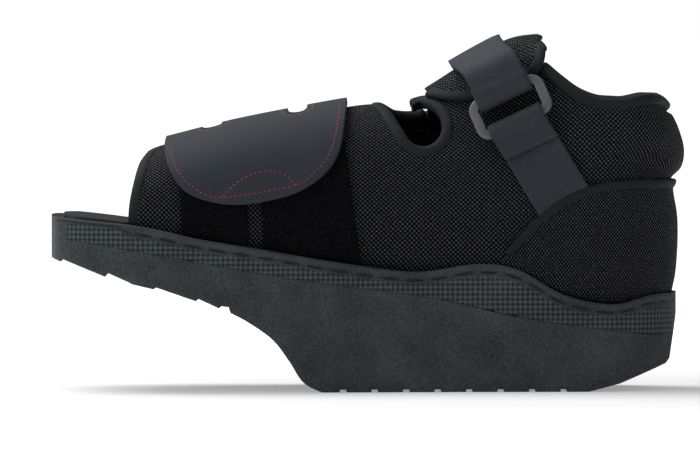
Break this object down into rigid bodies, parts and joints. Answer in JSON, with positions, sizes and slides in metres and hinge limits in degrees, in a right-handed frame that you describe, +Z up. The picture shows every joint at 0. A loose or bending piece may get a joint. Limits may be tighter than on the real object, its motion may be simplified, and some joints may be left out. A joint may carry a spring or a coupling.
{
  "type": "offloading shoe",
  "caption": "Open-toed forefoot offloading shoe: wedge sole with cut-away forefoot, knitted upper, slotted forefoot strap and webbing ankle strap with a ring buckle.",
  "frame": {"origin": "on the ground under the middle of the shoe's overall length and width", "axes": "+X from toe to heel, +Y to the side away from the buckle, +Z up"},
  "size_m": [0.2797, 0.107, 0.1559],
  "materials": {
    "sole_foam": "moulded charcoal foam with a fine grain",
    "insole_cloth": "black brushed cloth",
    "knit": "black open spacer knit",
    "counter_knit": "black close knit",
    "tape": "black stretch binding tape",
    "loop_pile": "black fuzzy loop pile",
    "strap_leather": "matt slate synthetic leather",
    "webbing": "ribbed woven webbing",
    "ring_plastic": "satin dark grey plastic"
  },
  "bodies": {
    "root": {"sole": "sole_foam", "insole": "insole_cloth", "upper": "knit", "toe_binding": "tape", "throat_binding": "tape", "collar_binding": "tape", "heel_counter_binding": "tape", "instep_flap_binding": "tape", "loop_panel_front": "loop_pile", "loop_panel_rear": "loop_pile", "forefoot_strap": "strap_leather", "heel_counter": "counter_knit", "instep_flap": "knit", "ankle_strap": "webbing", "anchor_strap": "webbing", "buckle_ring": "ring_plastic"}
  },
  "joints": []
}
